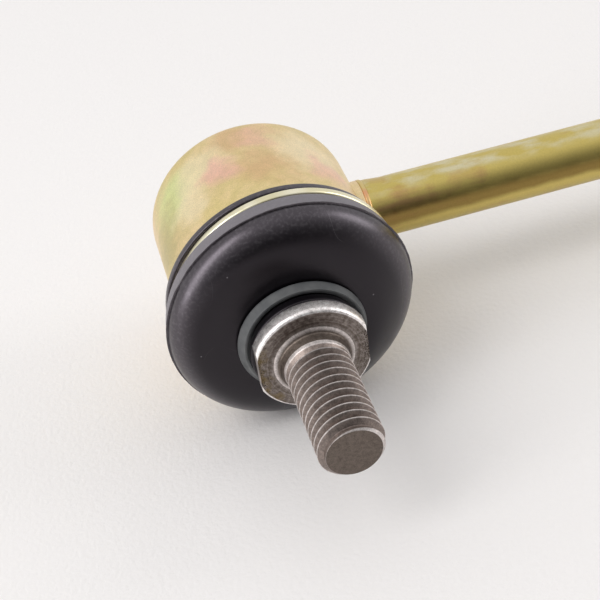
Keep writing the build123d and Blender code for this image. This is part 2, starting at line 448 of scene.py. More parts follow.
class Surface(NodeTree):
    """One material under construction, with its coordinates in millimetres."""

    def __init__(self, name: str, centre: Vector) -> None:
        """Starts a material whose pattern is centred on a point, in metres."""
        self.material = bpy.data.materials.new(name)
        self.material.use_nodes = True
        super().__init__(self.material.node_tree)
        self.shader = self.tree.nodes["Principled BSDF"]
        place = self.add("ShaderNodeTexCoord", output="Object")
        shift = tuple(-c / MM for c in centre)
        scale = (1 / MM,) * 3
        inputs = {"Vector": place, "Location": shift, "Scale": scale}
        self.place = self.add("ShaderNodeMapping", inputs)

    def axes(self) -> bpy.types.bpy_prop_collection:
        """The place along each axis of the link, as outputs X, Y and Z."""
        return self.add("ShaderNodeSeparateXYZ", {0: self.place}).node.outputs

    def stretched(self, lengths: Triple, turn: Triple = (0.0, 0.0, 0.0)) -> Socket:
        """The place turned and divided by a length along each axis, for a pattern with a grain."""
        scale = tuple(1 / length for length in lengths)
        inputs = {"Vector": self.place, "Rotation": turn, "Scale": scale}
        return self.add("ShaderNodeMapping", inputs)

    def noise(
        self, scale: float, detail: float, place: Socket | None = None, output: int | str = 0
    ) -> Socket:
        """Adds noise.

        Args:
            scale: Waves per millimetre, or per length where the place is stretched.
            detail: How many finer waves are laid over them.
            place: Where it is read; the surface's own place if not given.
            output: Which output is returned.

        Returns:
            The noise, about 0.5 on average.
        """
        where = self.place if place is None else place
        inputs = {"Vector": where, "Scale": scale, "Detail": detail}
        return self.add("ShaderNodeTexNoise", inputs, output)

    def ramp(self, amount: Socket, *stops: tuple[float, str]) -> Socket:
        """Turns a number into a colour, by stops of a place and a hex colour."""
        return self.add("ShaderNodeValToRGB", {"Fac": amount}, stops=stops)

    def mix(self, amount: Socket, first: object, second: object) -> Socket:
        """Blends a colour into another: none of the second at nought and all of it at one."""
        inputs = {"Factor": amount, 6: first, 7: second}
        return self.add("ShaderNodeMix", inputs, 2, data_type="RGBA")

    def roughness(self, follows: Socket, mean: float, less: float, more: float) -> Socket:
        """A roughness from a little less to a little more than its mean, after a pattern."""
        return self.remap(follows, target=(mean - less, mean + more))

    def relief(self, height: Socket, strength: float, depth: float) -> Socket:
        """Fine relief of that depth in millimetres."""
        inputs = {"Height": height, "Strength": strength, "Distance": depth * MM}
        return self.add("ShaderNodeBump", inputs)

    def finish(self, **values: object) -> Material:
        """Fills the shader's inputs and returns the material."""
        for name, value in values.items():
            self.feed(self.shader.inputs[name.replace("_", " ")], value)
        return self.material


class Finish:
    """A surface finish that makes one material for pieces round a centre."""

    def material(self, name: str, centre: Vector) -> Material:
        """Makes the material; each finish has its own nodes."""
        raise NotImplementedError

    def dress(self, piece: Piece, centre: Vector) -> None:
        """Gives a piece this finish as its only material."""
        piece.data.materials.clear()
        piece.data.materials.append(self.material(f"{type(self).__name__}_{piece.name}", centre))


@dataclass(frozen=True)
class YellowChromate(Finish):
    """Yellow chromate on zinc over a forged cup: satin gold with patches of interference.

    One side is green and olive; on the crest, pale patches are partly the chromate's tone and partly
    painted highlight, and tan ones partly painted shade where the crest reflects the darker horizon,
    with pink patches between them.
    """

    green: str = "#DDE3A0"
    gold: str = "#E2CE92"
    straw: str = "#EAD0A6"
    pink: str = "#F0BCAE"
    cream_and_highlight: str = "#F8E8C4"
    olive: str = "#C2B47E"
    tan: str = "#DCB78C"
    patch_size: float = 15.0
    patch_core: float = 0.25
    wander_waves: float = 0.2
    wander_reach: float = 9.0
    grain_length: float = 2.4
    grain_width: float = 0.16
    grain_turn: Span = (-35.0, 20.0)
    grain_depth: float = 0.02
    shade: Span = (0.80, 1.18)
    mean_roughness: float = 0.38

    def patches(self) -> tuple[tuple[str, Triple, float, float], ...]:
        """Colour, middle from the ball centre along the link's axes, reach and strength of each."""
        return (
            (self.green, (-13.5, 1.0, 10.5), 9.5, 0.9),
            (self.green, (13.5, 6.0, -10.5), 9.0, 0.7),
            (self.olive, (-15.8, -3.5, 6.0), 8.5, 0.85),
            # Tan on the crest is partly painted shade, where the crest reflects the darker horizon.
            (self.tan, (1.5, -4.5, 17.0), 7.0, 0.75),
            (self.tan, (-1.7, 5.1, 16.9), 5.0, 0.65),
            # The pale patches are partly the chromate's tone and partly painted highlight, most of
            # them on the crest.
            (self.cream_and_highlight, (-10.5, -4.5, 13.2), 5.5, 0.6),
            (self.cream_and_highlight, (-8.0, 1.5, 15.0), 7.5, 0.6),
            (self.cream_and_highlight, (9.8, 1.5, 14.0), 8.0, 0.7),
            (self.cream_and_highlight, (4.0, 3.0, -16.0), 8.0, 0.6),
            (self.pink, (-4.8, -2.3, 16.3), 4.6, 0.7),
            (self.pink, (2.6, 4.2, 16.8), 4.0, 0.5),
            (self.pink, (11.0, -3.0, 12.0), 5.0, 0.5),
            (self.pink, (-6.0, 7.0, -15.0), 8.0, 0.5),
        )

    def material(self, name: str, centre: Vector) -> Material:
        """Gold that turns straw, soft patches with wandering outlines and a fine slanted grain."""
        s = Surface(name, centre)
        cloud = s.noise(1 / self.patch_size, 4.0)
        blotch = s.noise(8 / self.patch_size, 4.0)
        tone = s.remap(s.maths("MULTIPLY_ADD", blotch, 0.35, cloud), (0.5, 0.85))
        colour = s.mix(tone, self.gold, self.straw)
        wander = s.scaled(s.noise(self.wander_waves, 5.0, output="Color"), self.wander_reach)
        centred = (-self.wander_reach / 2,) * 3
        uneven = s.vector("ADD", s.vector("ADD", s.place, wander), centred)
        for tint, middle, reach, strength in self.patches():
            away = s.vector("DISTANCE", uneven, middle, output="Value")
            patch = s.remap(away, (reach, self.patch_core * reach), curve="SMOOTHSTEP")
            colour = s.mix(s.product(patch, strength), colour, tint)
        turn = (0.0, *(math.radians(angle) for angle in self.grain_turn))
        brushed = s.stretched((self.grain_width, self.grain_width, self.grain_length), turn)
        grain = s.noise(1.0, 3.0, brushed)
        mottle = s.maths("MULTIPLY_ADD", blotch, 0.4, grain)
        return s.finish(
            Base_Color=s.scaled(colour, s.remap(mottle, (0.4, 1.0), self.shade)),
            Metallic=1.0,
            Roughness=s.roughness(blotch, self.mean_roughness, 0.06, 0.10),
            Normal=s.relief(grain, 0.3, self.grain_depth),
        )


@dataclass(frozen=True)
class DrawnRodChromate(Finish):
    """Yellow chromate on zinc over cold-drawn bar: olive and brown clouds, streaks and scuffs.

    A dark brown band runs along the front, a little above the middle: partly a browner film where the
    bath ran off, and partly painted shade for the dark reflection on the front. The top is rubbed
    pale.
    """

    olive: str = "#CDB96C"
    brown: str = "#BF9C68"
    scuff: str = "#D9D0AC"
    brown_film_and_shade: str = "#7A6034"
    brown_film_and_shade_height: float = 0.75
    brown_film_and_shade_width: Span = (2.5, 1.1)
    scuffed_height: Span = (4.0, 4.9)
    cloud_size: float = 6.0
    streak_length: float = 24.0
    streak_width: float = 0.8
    scuff_length: float = 2.6
    grain_waves: float = 3.5
    grain_depth: float = 0.02
    shade: Span = (0.86, 1.10)
    mean_roughness: float = 0.30

    def material(self, name: str, centre: Vector) -> Material:
        """Long streaks over soft clouds, a dark band of film and painted shade, pale scuffs and a
        fine grain.
        """
        s = Surface(name, centre)
        places = s.axes()
        along = s.stretched((self.streak_length, self.streak_width, self.streak_width))
        streaks = s.noise(1.0, 4.0, along)
        cloud = s.noise(1 / self.cloud_size, 5.0)
        tone = s.maths("MULTIPLY_ADD", streaks, 0.5, cloud)
        colour = s.ramp(tone, (0.48, self.brown), (0.70, self.olive))
        # Painted shade, partly: a dark brown band along the front stands in for the dark reflection
        # there, as well as a browner film.
        off_line = s.gap(places["Z"], self.brown_film_and_shade_height)
        off_line = s.maths("MULTIPLY_ADD", cloud, 1.2, off_line)
        on_brown_film_and_shade = s.remap(off_line, self.brown_film_and_shade_width, (0.0, 0.8), "SMOOTHSTEP")
        in_front = s.maths("LESS_THAN", places["Y"], 0.0)
        colour = s.mix(s.product(on_brown_film_and_shade, in_front), colour, self.brown_film_and_shade)
        blots = s.noise(0.45, 6.0, s.stretched((self.scuff_length, 1.0, 1.0)))
        worn = s.remap(blots, (0.44, 0.66))
        on_top = s.remap(places["Z"], self.scuffed_height)
        colour = s.mix(s.product(worn, on_top), colour, self.scuff)
        grain = s.noise(self.grain_waves, 3.0)
        return s.finish(
            Base_Color=s.scaled(colour, s.remap(grain, target=self.shade)),
            Metallic=1.0,
            Roughness=s.roughness(cloud, self.mean_roughness, 0.05, 0.10),
            Normal=s.relief(grain, 0.3, self.grain_depth),
        )


@dataclass(frozen=True)
class WeldTintAndReflection(Finish):
    """Friction weld under chromate: the rod's gold, with blotches of orange that are partly heat tint
    and partly painted reflection of the gold beside it.
    """

    orange: str = "#DDA57E"
    gold: str = "#D6C084"
    blotch_size: float = 4.0
    mean_roughness: float = 0.4

    def material(self, name: str, centre: Vector) -> Material:
        """Orange blotches a few millimetres across, soft at their edges."""
        s = Surface(name, centre)
        blots = s.noise(1 / self.blotch_size, 3.0)
        # The orange blotches are partly heat tint and partly painted reflection.
        colour = s.ramp(blots, (0.42, self.orange), (0.58, self.gold))
        return s.finish(Base_Color=colour, Metallic=1.0, Roughness=self.mean_roughness)


@dataclass(frozen=True)
class RolledSteel(Finish):
    """Cold-forged carbon steel, bare and oiled.

    Rims, crests and chamfers are rubbed bright, and the flange's rim is painted lighter still as a
    painted highlight. Below its crests the thread is darker, partly grime in the roots and partly
    painted shade on the flanks, which leaves the crests as bright lines. The foot, the flange's face
    and the point's end keep the brown film and grime of the forging. Heights are along the stud from
    the ball.
    """

    bright: str = "#CFC7C4"
    rim: str = "#F4EEEC"
    grimy: str = "#6C625B"
    root: str = "#8A7E78"
    stain: str = "#7C6C50"
    speck: str = "#2E2621"
    crest_radius: float = 5.0
    face_height: float = 31.8
    foot_top: float = 33.5
    rim_radius: float = 8.72
    flat_offset: float = 8.35
    point_radius: float = 4.05
    point_length: float = 1.0
    tip_height: float = 51.8
    shade: Span = (0.66, 1.28)
    mean_roughness: float = 0.40
    rim_polish: float = 0.04

    def material(self, name: str, centre: Vector) -> Material:
        """Darkens the thread below its crests, as grime and painted shade, and the faces square to
        the stud, with stains, marks, specks and a painted highlight on the rim.
        """
        s = Surface(name, centre)
        places = s.axes()
        tip = self.tip_height
        height = s.product(places["Y"], -1.0)
        flat = s.vector("MULTIPLY", s.place, (1, 0, 1))
        radius = s.vector("LENGTH", flat, output="Value")
        grain = s.noise(1.6, 5.0)
        fine = s.noise(5.0, 3.0)

        point = (tip - self.point_length, tip)
        crest = s.remap(height, point, (self.crest_radius, self.point_radius))
        sunk = s.remap(s.maths("SUBTRACT", crest, radius), (0.02, 0.10))
        past_face = s.remap(height, (self.face_height + 0.15, self.face_height + 0.3))
        before_tip = s.maths("LESS_THAN", height, tip - 0.03)
        on_thread = s.product(past_face, before_tip)
        root_grime_and_shade = s.product(sunk, on_thread)
        on_foot = s.product(past_face, s.maths("LESS_THAN", height, self.foot_top))
        off_face = s.gap(height, self.face_height)
        on_face = s.remap(off_face, (0.10, 0.02))
        on_tip = s.remap(height, (tip - 0.03, tip - 0.01))
        square = s.maths("MAXIMUM", on_face, on_tip)
        filmed = s.maths("MAXIMUM", square, on_foot)
        on_rim = s.maths("GREATER_THAN", radius, self.rim_radius)

        rings = s.add(
            "ShaderNodeTexNoise",
            {"W": radius, "Scale": 2.4, "Detail": 3.0},
            noise_dimensions="1D",
        )
        marks = s.maths("MULTIPLY_ADD", rings, on_face, grain)
        film = s.product(filmed, s.remap(marks, (0.8, 1.3), (1.0, 0.7)))
        base = s.mix(film, self.bright, self.grimy)
        # Painted shade, partly: all of the thread below its crests is darkened, as grime in the roots
        # and as shade on the flanks.
        base = s.mix(root_grime_and_shade, base, self.root)
        # Painted highlight: the flange's rim is painted lighter than the rubbed steel.
        base = s.mix(on_rim, base, self.rim)

        aside = s.remap(places["X"], (-3.0, -8.0), (-0.3, 0.12))
        blot = s.remap(s.maths("ADD", s.noise(0.3, 4.0), aside), (0.52, 0.64))
        base = s.mix(s.product(blot, on_face), base, self.stain)

        side = s.maths("ABSOLUTE", places["X"])
        edge = s.remap(side, (self.flat_offset - 2.2, self.flat_offset), (0.0, 0.16))
        speck = s.remap(s.maths("ADD", fine, edge), (0.66, 0.70))
        base = s.mix(s.product(speck, square), base, self.speck)

        mottle = s.maths("ADD", fine, grain)
        rough = s.roughness(grain, self.mean_roughness, 0.06, 0.12)
        return s.finish(
            Base_Color=s.scaled(base, s.remap(mottle, (0.7, 1.3), self.shade)),
            Metallic=1.0,
            Roughness=s.maths("MULTIPLY_ADD", on_rim, -self.rim_polish, rough),
            Normal=s.relief(marks, 0.3, 0.04),
        )


@dataclass(frozen=True)
class MouldedRubber(Finish):
    """Moulded chloroprene rubber: satin black in front of its moulding line; behind it, rougher and
    painted grey, a painted sheen for the light the back of the wall catches.

    Towards the rim it is glossier, with a powdery bloom. It carries a few specks of dust and hair
    scratches. Heights are those that the boot was moulded with, stored on its points.
    """

    black: str = "#050406"
    skirt: str = "#6F6C70"
    flash: str = "#050506"
    dust: str = "#9A969A"
    bloom: str = "#FFF2FF"
    mean_roughness: float = 0.30
    skirt_roughness: float = 0.25
    rim_gloss: float = 1.0
    face_gloss: float = 0.38
    gloss_fade: Span = (24.2, 22.2)
    powder_strength: float = 0.16
    dust_spacing: float = 4.0
    dust_strength: float = 0.45
    hair_width: Span = (0.0012, 0.0004)
    parting_height: float = 19.9
    flash_width: float = 0.11
    flash_fade: Span = (-6.0, 2.0)
    back_foot: float = 17.0

    def material(self, name: str, centre: Vector) -> Material:
        """Near black, with the painted grey sheen of its skirt, then flash, dust, scratches and
        powder laid on one by one.
        """
        s = Surface(name, centre)
        height = s.add("ShaderNodeAttribute", output="Fac", attribute_name="moulded_height")
        cloud = s.noise(0.3, 4.0)
        behind = s.maths("LESS_THAN", height, self.parting_height - self.flash_width)
        skirt = s.product(behind, s.maths("GREATER_THAN", height, self.back_foot))
        # Painted sheen: behind the moulding line the rubber is painted grey for the light that part
        # of the wall catches.
        painted_skirt_sheen = s.product(skirt, s.remap(cloud, target=(0.6, 1.0)))
        base = s.mix(painted_skirt_sheen, self.black, self.skirt)

        off_line = s.gap(height, self.parting_height)
        flash = s.maths("LESS_THAN", off_line, self.flash_width - 0.002)
        flash = s.product(flash, s.remap(s.axes()["Z"], self.flash_fade))
        base = s.mix(flash, base, self.flash)

        specks = s.add(
            "ShaderNodeTexVoronoi",
            {"Vector": s.place, "Scale": 1 / self.dust_spacing, "Randomness": 1.0},
            output="Distance",
        )
        speck = s.remap(specks, (0.04, 0.02))
        hair = s.gap(s.noise(0.09, 0.5), 0.5)
        broken = s.remap(s.noise(0.11, 5.0), (0.50, 0.66))
        hair = s.product(s.remap(hair, self.hair_width), broken)
        mark = s.product(s.maths("MAXIMUM", speck, hair), self.dust_strength)
        colour = s.mix(mark, base, self.dust)

        rim = s.remap(height, self.gloss_fade, curve="SMOOTHSTEP")
        powder = s.remap(s.noise(2.2, 6.0), (0.48, 0.8), (0.0, self.powder_strength))
        colour = s.mix(s.product(powder, rim), colour, self.dust)

        rough = s.roughness(cloud, self.mean_roughness, 0.06, 0.08)
        return s.finish(
            Base_Color=colour,
            Roughness=s.maths("MULTIPLY_ADD", skirt, self.skirt_roughness, rough),
            Normal=s.relief(s.noise(2.5, 3.0), 0.2, 0.02),
            Specular_IOR_Level=s.remap(rim, target=(self.face_gloss, self.rim_gloss)),
            Specular_Tint=self.bloom,
        )


@dataclass(frozen=True)
class PlainFinish(Finish):
    """A finish with one grain over two close shades, for the smaller pieces.

    Attributes:
        low: Darker shade.
        high: Lighter shade.
        grain: Width of the grain in millimetres.
        metallic: One for metal, nought for plastic.
        mean_roughness: Mean roughness.
    """

    low: str
    high: str
    grain: float
    metallic: float
    mean_roughness: float

    def material(self, name: str, centre: Vector) -> Material:
        """Two shades mixed by noise, and a roughness that follows it."""
        s = Surface(name, centre)
        cloud = s.noise(1 / self.grain, 3.0)
        colour = s.ramp(cloud, (0.35, self.low), (0.65, self.high))
        rough = s.roughness(cloud, self.mean_roughness, 0.05, 0.05)
        return s.finish(Base_Color=colour, Metallic=self.metallic, Roughness=rough)


NYLON_RING = PlainFinish("#4C4E50", "#5E5F60", 2.0, 0.0, 0.45)
BRIGHT_ZINC = PlainFinish("#E4DCB8", "#F1EBD2", 4.0, 1.0, 0.30)
ACETAL_SEAT = PlainFinish("#D9D3C2", "#E2DDCF", 3.0, 0.0, 0.40)
SPRING_STEEL = PlainFinish("#4C4B4E", "#5D5C60", 1.5, 1.0, 0.42)
TURNED_STEEL = PlainFinish("#8C8884", "#9B9793", 1.0, 1.0, 0.38)


class Part:
    """A sub-assembly that models itself, in the joint frame unless it says otherwise."""

    slot: str
    skew: "Skew | None" = None

    def build(self) -> Piece:
        """Models the piece; each part has its own outlines."""
        raise NotImplementedError


@dataclass
class BallStud(Part):
    """Forged stud with its ball, neck, boot seat, flange with two flats and rolled thread."""

    ball_radius: float = 8.0
    neck_radius: float = 5.0
    boot_seat_radius: float = 7.0
    boot_seat_length: float = 4.3
    boot_seat_taper: float = 2.2
    flange_radius: float = 9.2
    flange_back: float = 29.3
    flange_face: float = 31.8
    flange_round: float = 0.3
    rim_crown: float = 0.75
    flat_offset: float = 8.35
    cut_edge_round: float = 0.12
    foot_radius: float = 5.9
    foot_height: float = 0.9
    run_out_radius: float = 5.25
    run_out: float = 1.3
    thread_turn: float = -31.0
    thread_radius: float = 5.0
    thread_pitch: float = 1.5
    thread_depth: float = 0.613
    thread_steps: int = 96
    point_radius: float = 4.05
    point_length: float = 1.0
    tip_height: float = 51.8
    slot: str = "stud_steel"

    @property
    def root_radius(self) -> float:
        """Radius at the bottom of the thread, whose depth is given in pitches."""
        return self.thread_radius - self.thread_depth * self.thread_pitch

    def blank(self) -> Piece:
        """The stud without its flange and thread; a taper at its end goes down inside the thread."""
        neck_start = math.sqrt(self.ball_radius**2 - self.neck_radius**2)
        polar = math.degrees(math.asin(neck_start / self.ball_radius))
        seat_foot = self.flange_back - self.boot_seat_length
        foot_top = self.flange_face + self.foot_height
        core = self.boot_seat_radius - 0.5
        buried_end = foot_top + self.run_out + 1.7
        outline = Outline()
        outline.sweep((0, 0), (self.ball_radius, self.ball_radius), -90, polar - 5, 46)
        outline.to(self.neck_radius, neck_start + 0.3, 0.3)
        outline.to(self.neck_radius, seat_foot - self.boot_seat_taper, 0.8)
        outline.to(self.boot_seat_radius, seat_foot, 0.4)
        outline.to(self.boot_seat_radius, self.flange_back + 0.5)
        outline.to(core, self.flange_back + 1.0)
        outline.to(core, self.flange_face - 0.6)
        outline.to(self.foot_radius + 0.5, self.flange_face - 0.1)
        outline.to(self.foot_radius + 0.3, self.flange_face + 0.1, 0.2)
        outline.to(self.run_out_radius + 0.15, self.flange_face + 0.35, 0.45)
        outline.to(self.run_out_radius, foot_top + 0.1, 0.3)
        outline.to(self.thread_radius, foot_top + self.run_out, 0.5)
        outline.to(self.root_radius - 0.1, buried_end)
        outline.to(0.0, buried_end)
        return turned("blank", outline)

    def flange(self) -> Piece:
        """The flange: a rounded disc cut by two flats, with its cut edges broken."""
        outline = Outline()
        outline.to(0.0, self.flange_back)
        outline.to(self.flange_radius, self.flange_back, self.flange_round)
        outline.to(self.flange_radius, self.flange_face, self.rim_crown)
        outline.to(0.0, self.flange_face)
        disc = turned("flange", outline)
        edit(disc)
        for side in (-1, 1):
            cut_off((side * self.flat_offset, 0, 0), (side, 0, 0), fill=True)
        tidy_edit_mesh()
        rounded_edges(disc, self.cut_edge_round)
        return disc

    def thread(self) -> Piece:
        """The rolled thread: one turn of its ridge is drawn, wound up and cut off at the tip."""
        pitch = self.thread_pitch
        start = self.flange_face + self.foot_height
        root, crest = self.root_radius, self.thread_radius
        rising = [
            (root, 0.0),
            (root + 0.04, 0.10),
            (crest - 0.03, 0.435),
            (crest, 0.455),
        ]
        falling = [(radius, 1 - share) for radius, share in reversed(rising)]
        ridge = [(radius, pitch * share) for radius, share in rising + falling]
        piece = drawn("thread", [Vector((r, 0.0, start + h)) * MM for r, h in ridge])
        bpy.ops.object.mode_set(mode="OBJECT")
        screw = piece.modifiers.new("wind", "SCREW")
        screw.angle = math.tau
        screw.screw_offset = pitch * MM
        screw.iterations = math.ceil((self.tip_height - start) / pitch) + 1
        screw.steps = screw.render_steps = self.thread_steps
        screw.use_merge_vertices = False
        bpy.ops.object.modifier_apply(modifier=screw.name)
        edit(piece)
        bpy.ops.mesh.select_all(action="SELECT")
        bpy.ops.mesh.remove_doubles(threshold=SAME_POINT)
        cut_off((0, 0, self.tip_height), (0, 0, 1))
        cut_off((0, 0, start + pitch), (0, 0, -1))
        bpy.ops.mesh.select_all(action="SELECT")
        bpy.ops.transform.rotate(
            value=math.radians(self.thread_turn), orient_axis="Z", center_override=(0, 0, 0)
        )
        bpy.ops.mesh.fill_holes(sides=0)
        bpy.ops.object.mode_set(mode="OBJECT")
        self.point_tip(piece)
        edit(piece)
        tidy_edit_mesh()
        return piece

    def point_tip(self, piece: Piece) -> None:
        """Draws the ridge in to the bevel at the tip."""
        slope = (self.thread_radius - self.point_radius) / self.point_length
        for vertex in piece.data.vertices:
            height = vertex.co.z / MM
            limit = self.point_radius + (self.tip_height - height) * slope
            radius = math.hypot(vertex.co.x, vertex.co.y) / MM
            if radius > limit:
                vertex.co.x *= limit / radius
                vertex.co.y *= limit / radius

    def build(self) -> Piece:
        """Models the whole stud in the joint frame."""
        body = self.blank()
        flange = self.flange()
        thread = self.thread()
        joined_by_boolean(body, flange, "UNION")
        bpy.ops.object.select_all(action="DESELECT")
        thread.select_set(True)
        body.select_set(True)
        bpy.context.view_layer.objects.active = body
        bpy.ops.object.join()
        smooth(body, 34)
        return body


@dataclass(frozen=True)
class Skew:
    """How a soft piece sits off the axis of its joint: a little aside and turned.

    Attributes:
        aside: Shift towards the rod and upwards, in millimetres.
        turn: Rise of height towards the rod and upwards, in millimetres per millimetre.
        inner: Radius up to which nothing moves.
        outer: Radius from which all of it moves.
        seat_radius: Radius up to which nothing moves where the piece sits on the cup.
        seat_height: Height up to which that holds.
    """

    aside: Span = (-0.20, 0.18)
    turn: Span = (-0.055, 0.026)
    inner: float = 10.5
    outer: float = 17.9
    seat_radius: float = 17.1
    seat_height: float = 18.4

    def apply(self, piece: Piece, joint: JointPlace) -> None:
        """Moves the points of a piece that is placed at a joint."""
        place = joint.matrix()
        back = place.inverted()
        side = joint.toward_rod
        for vertex in piece.data.vertices:
            x, y, z = back @ vertex.co / MM
            inner = self.seat_radius if z < self.seat_height else self.inner
            share = (math.hypot(x, y) - inner) / (self.outer - inner)
            share = min(max(share, 0.0), 1.0)
            share *= share * (3 - 2 * share)
            rise = self.turn[0] * x + self.turn[1] * y * side
            shift = Vector((self.aside[0], self.aside[1] * side, rise)) * share * MM
            vertex.co += place.to_3x3() @ shift


@dataclass
class Boot(Part):
    """Rubber boot: bun-shaped wall with a moulding line, clamp groove, rear lip and neck lip."""

    bore_radius: float = 7.3
    neck_groove_radius: float = 8.3
    neck_lip_radius: float = 8.9
    neck_lip_foot: float = 27.45
    neck_lip_top: float = 29.0
    face_height: float = 25.1
    crown_radius: float = 10.0
    rim_radius: float = 19.6
    skirt_radius: float = 19.78
    parting_height: float = 19.9
    wall: float = 1.8
    back_radius: float = 19.4
    back_foot: float = 16.95
    groove_radius: float = 17.95
    groove_foot: float = 14.1
    lip_radius: float = 18.7
    lip_foot: float = 12.8
    bead_radius: float = 15.55
    land_radius: float = 17.05
    mouth_height: float = 18.3
    flash_radius: float = 19.92
    flash_width: float = 0.10
    flash_ripple: float = 0.10
    ripple_waves: float = 0.7
    flash_tear: float = 0.5
    tear_waves: float = 0.2
    bend_heights: Span = (18.4, 23.6)
    slot: str = "boot_rubber"
    skew: Skew = Skew()

    def build(self) -> Piece:
        """Models the boot in the joint frame."""
        half_axes = (self.rim_radius - self.crown_radius, self.face_height - self.parting_height)
        inner_axes = (half_axes[0] - self.wall, half_axes[1] - self.wall)
        crown = (self.crown_radius, self.parting_height)
        outline = Outline()
        outline.to(self.bore_radius, self.neck_lip_top - 0.2)
        outline.to(self.bore_radius + 0.2, self.neck_lip_top)
        outline.to(self.neck_lip_radius, self.neck_lip_top, 0.35)
        outline.to(self.neck_lip_radius, self.neck_lip_foot, 0.25)
        outline.to(self.neck_groove_radius, self.neck_lip_foot)
        outline.to(self.neck_groove_radius, self.face_height, 0.25)
        outline.sweep(crown, half_axes, 90, 3, 26)
        outline.to(self.rim_radius, self.parting_height + self.flash_width)
        outline.to(self.flash_radius, self.parting_height + 0.5 * self.flash_width)
        outline.to(self.flash_radius, self.parting_height - 0.5 * self.flash_width)
        outline.to(self.skirt_radius, self.parting_height - self.flash_width)
        outline.to(self.back_radius, self.back_foot, 0.12)
        outline.to(self.groove_radius, self.back_foot, 0.2)
        outline.to(self.groove_radius, self.groove_foot, 0.2)
        outline.to(self.lip_radius, self.groove_foot, 0.3)
        outline.to(self.lip_radius, self.lip_foot, 0.3)
        outline.to(self.land_radius, self.lip_foot)
        outline.to(self.bead_radius, self.lip_foot)
        outline.to(self.bead_radius, self.mouth_height, 0.3)
        outline.to(self.rim_radius - self.wall, self.parting_height)
        outline.sweep(crown, inner_axes, 2, 90, 18)
        outline.to(self.bore_radius, self.face_height - self.wall, 0.3)
        outline.closed()
        boot = turned("boot", outline, Steps.FINE)
        self.keep_heights(boot)
        self.trim_flash(boot)
        return boot

    def keep_heights(self, boot: Piece) -> None:
        """Stores each point's height as moulded, which the rubber's finish reads."""
        heights = boot.data.attributes.new("moulded_height", "FLOAT", "POINT")
        for vertex, value in zip(boot.data.vertices, heights.data):
            value.value = vertex.co.z / MM

    def trim_flash(self, boot: Piece) -> None:
        """Makes the flash at the moulding line uneven, with a few torn spots."""
        reach = (self.flash_radius - 0.02) * MM
        for vertex in boot.data.vertices:
            flat = Vector((vertex.co.x, vertex.co.y, 0.0))
            if flat.length < reach:
                continue
            spot = noise.noise(flat * (self.ripple_waves / MM))
            torn = max(0.0, noise.noise(flat * (self.tear_waves / MM)) - 0.25)
            missing = self.flash_ripple * abs(spot) + self.flash_tear * torn
            vertex.co -= flat.normalized() * missing * MM


@dataclass
class BootClamp(Part):
    """Plated steel band in the boot's rear groove."""

    inner: float = 18.0
    outer: float = 18.65
    foot: float = 14.2
    top: float = 16.85
    bead_top: float = 15.5
    bead_round: float = 0.52
    front_radius: float = 18.12
    slot: str = "clamp_plating"
    skew: Skew = Skew(aside=(0.38, 0.14))

    def build(self) -> Piece:
        """Models the band in the joint frame: a rounded bead with a thin lip in front of it."""
        outline = Outline()
        outline.to(self.inner, self.foot)
        outline.to(self.outer, self.foot, 0.15)
        outline.to(self.outer, self.bead_top, self.bead_round)
        outline.to(self.front_radius, self.bead_top)
        outline.to(self.front_radius, self.top)
        outline.to(self.inner, self.top)
        outline.closed()
        return turned("boot_clamp", outline, Steps.FINE)


@dataclass
class NeckRing(Part):
    """Plastic ring that holds the boot's neck, with a step round its front bore."""

    inner: float = 8.6
    back_radius: float = 10.1
    front_radius: float = 9.45
    foot: float = 25.4
    edge: float = 0.35
    top: float = 27.15
    step_width: float = 0.45
    step_depth: float = 0.25
    slot: str = "neck_ring_plastic"
    skew: Skew = Skew(aside=(-0.15, -0.4), turn=(0.0, 0.0), inner=9.4, outer=10.1)

    def build(self) -> Piece:
        """Models the ring in the joint frame."""
        step = self.inner + self.step_width
        outline = Outline()
        outline.to(self.inner, self.foot)
        outline.to(self.back_radius, self.foot, 0.1)
        outline.to(self.back_radius, self.foot + self.edge, 0.15)
        outline.to(self.front_radius, self.top, 0.12)
        outline.to(step, self.top, 0.06)
        outline.to(step, self.top - self.step_depth)
        outline.to(self.inner, self.top - self.step_depth, 0.06)
        outline.closed()
        return turned("neck_ring", outline, Steps.MEDIUM)


